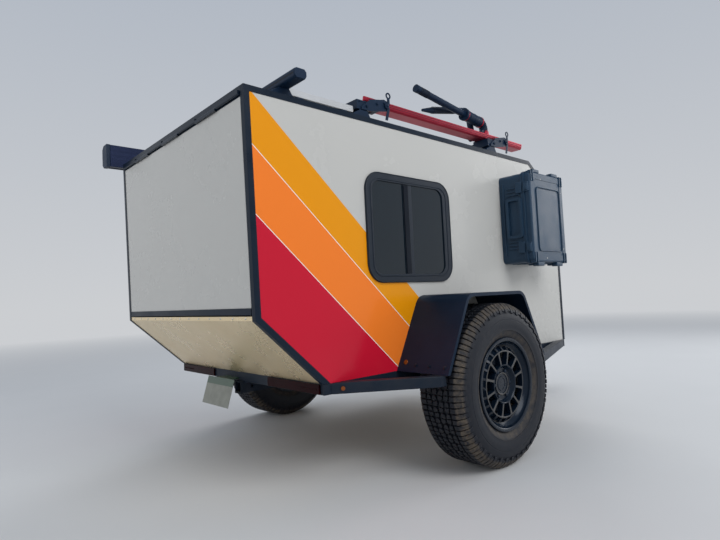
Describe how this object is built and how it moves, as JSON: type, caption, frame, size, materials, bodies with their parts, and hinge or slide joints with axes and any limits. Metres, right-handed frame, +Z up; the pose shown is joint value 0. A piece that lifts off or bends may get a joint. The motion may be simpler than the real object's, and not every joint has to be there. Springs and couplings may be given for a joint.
{
  "type": "squaredrop camping trailer",
  "caption": "Off-road squaredrop camping trailer with sheet fenders, roof bars, awning case, bicycle tray, side storage case, rear hatch, side door and tongue jack.",
  "frame": {"origin": "on the ground under the middle of the overall length, in the middle of the width, as it parks on its wheels and tongue jack", "axes": "+X forward to the coupler, +Y to the left side (the door), +Z up"},
  "size_m": [3.86, 2.27, 2.219],
  "materials": {
    "white_panel": "gloss",
    "stucco_aluminium": "satin",
    "black_steel": "satin",
    "black_trim": "satin",
    "black_plastic": "satin",
    "dark_glass": "gloss",
    "plywood": "satin",
    "fabric": "matte",
    "tyre": "matte",
    "black_alloy": "satin",
    "cast_iron": "satin",
    "red_lens": "gloss",
    "amber_lens": "gloss",
    "plate": "satin",
    "zinc_steel": "satin",
    "red_aluminium": "satin",
    "grey_aluminium": "satin",
    "awning_grey": "satin"
  },
  "bodies": {
    "trailer": {"wall_right": "white_panel", "wall_left": "white_panel", "floor_panel": "plywood", "front_wall": "white_panel", "nose_panel": "white_panel", "roof_panel": "white_panel", "slant_panel": "stucco_aluminium", "galley_boards": "plywood", "galley_shelves": "plywood", "mattress": "fabric", "edge_trims": "black_trim", "window_frames": "black_plastic", "window_panes": "dark_glass", "door_hinges": "black_steel", "fenders": "black_steel", "frame_rails": "black_steel", "cross_members": "black_steel", "side_rails": "black_steel", "tongue_rails": "black_steel", "coupler": "black_steel", "jack_body": "zinc_steel", "tail_lamps": "red_lens", "marker_lamps": "amber_lens", "receiver": "black_steel", "number_plate": "plate", "axle_beam": "black_steel", "axle_arms": "cast_iron", "roof_bars": "black_trim", "roof_feet": "black_plastic", "awning_case": "awning_grey", "awning_fittings": "black_plastic", "solar_panel": "grey_aluminium", "bike_tray": "red_aluminium", "tray_fittings": "black_plastic", "case_base": "black_plastic"},
    "wheel_right": {"tyre_right": "tyre", "rim_right": "black_alloy", "hub_right": "cast_iron"},
    "wheel_left": {"tyre_left": "tyre", "rim_left": "black_alloy", "hub_left": "cast_iron"},
    "hatch": {"hatch_panel": "white_panel", "hatch_rail": "black_trim"},
    "entry_door": {"door_panel": "white_panel", "door_fittings": "black_steel", "door_window_frame": "black_plastic", "door_pane": "dark_glass"},
    "storage_lid": {"case_lid": "black_plastic"},
    "gripping_arm": {"rack_arm": "black_steel"},
    "wheel_hoop": {"rack_hoop": "black_steel"},
    "jack": {"jack_leg": "zinc_steel"}
  },
  "joints": [
    {"name": "wheel_right_spin", "type": "hinge", "parent": "trailer", "child": "wheel_right", "pos_m": [-0.567, -0.992, 0.42], "axis": [0, 1, 0], "continuous": true},
    {"name": "wheel_left_spin", "type": "hinge", "parent": "trailer", "child": "wheel_left", "pos_m": [-0.567, 0.992, 0.42], "axis": [0, 1, 0], "continuous": true},
    {"name": "hatch_hinge", "type": "hinge", "parent": "trailer", "child": "hatch", "pos_m": [-1.8455, 0, 1.7786], "axis": [0, 1, 0], "range_deg": [0, 90]},
    {"name": "door_hinge", "type": "hinge", "parent": "trailer", "child": "entry_door", "pos_m": [0.655, 0.774, 1.11], "axis": [0, 0, -1], "range_deg": [0, 110]},
    {"name": "storage_lid_hinge", "type": "hinge", "parent": "trailer", "child": "storage_lid", "pos_m": [0.468, -0.93325, 1.3585], "axis": [0, 0, 1], "range_deg": [0, 110]},
    {"name": "gripping_arm_fold", "type": "hinge", "parent": "trailer", "child": "gripping_arm", "pos_m": [0.18, -0.543, 2.015], "axis": [0, 1, 0], "range_deg": [0, 90]},
    {"name": "wheel_hoop_fold", "type": "hinge", "parent": "trailer", "child": "wheel_hoop", "pos_m": [0.18, -0.473, 2.015], "axis": [0, 1, 0], "range_deg": [0, 90]},
    {"name": "jack_slide", "type": "slide", "parent": "trailer", "child": "jack", "axis": [0, 0, 1], "range_m": [-0.08, 0.3]}
  ]
}
